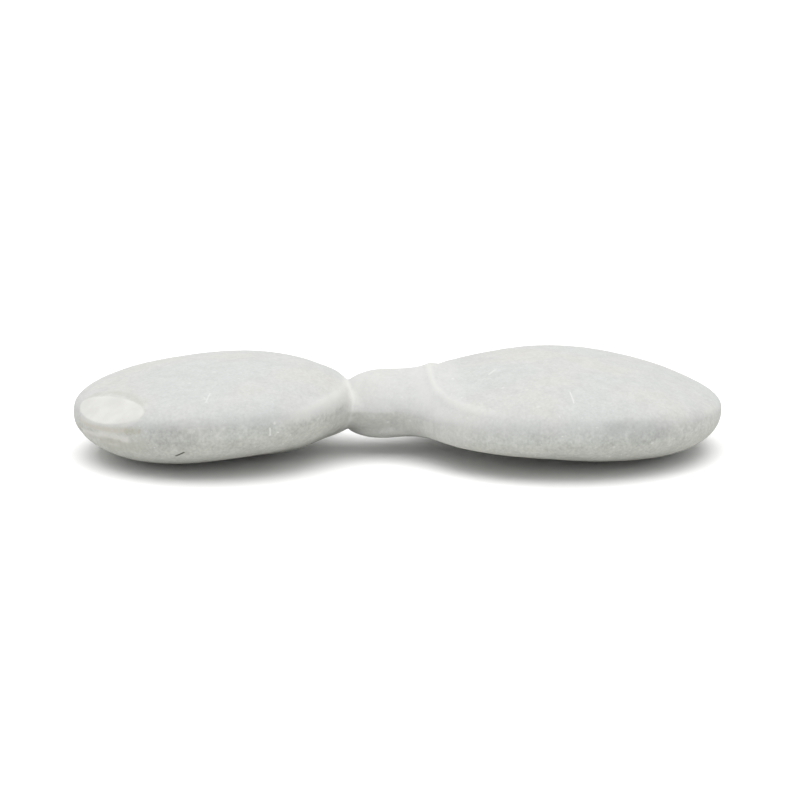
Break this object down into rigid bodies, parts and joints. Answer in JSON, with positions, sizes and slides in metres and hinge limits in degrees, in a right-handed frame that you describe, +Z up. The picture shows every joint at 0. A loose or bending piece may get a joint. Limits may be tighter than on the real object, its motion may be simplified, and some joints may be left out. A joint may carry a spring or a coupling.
{
  "type": "fairy stone",
  "caption": "Flat pale grey natural concretion of rounded discs grown together through a short neck, with a pale chip on one rim.",
  "frame": {"origin": "middle of the stone's length and width, on the surface that it rests on", "axes": "+X along the stone from the chipped disc to the plain disc, +Y across it away from the chip, +Z up through its thickness"},
  "size_m": [0.07, 0.0326, 0.0099],
  "materials": {
    "stone": "fine matt worn surface"
  },
  "bodies": {
    "root": {"stone": "stone"}
  },
  "joints": []
}
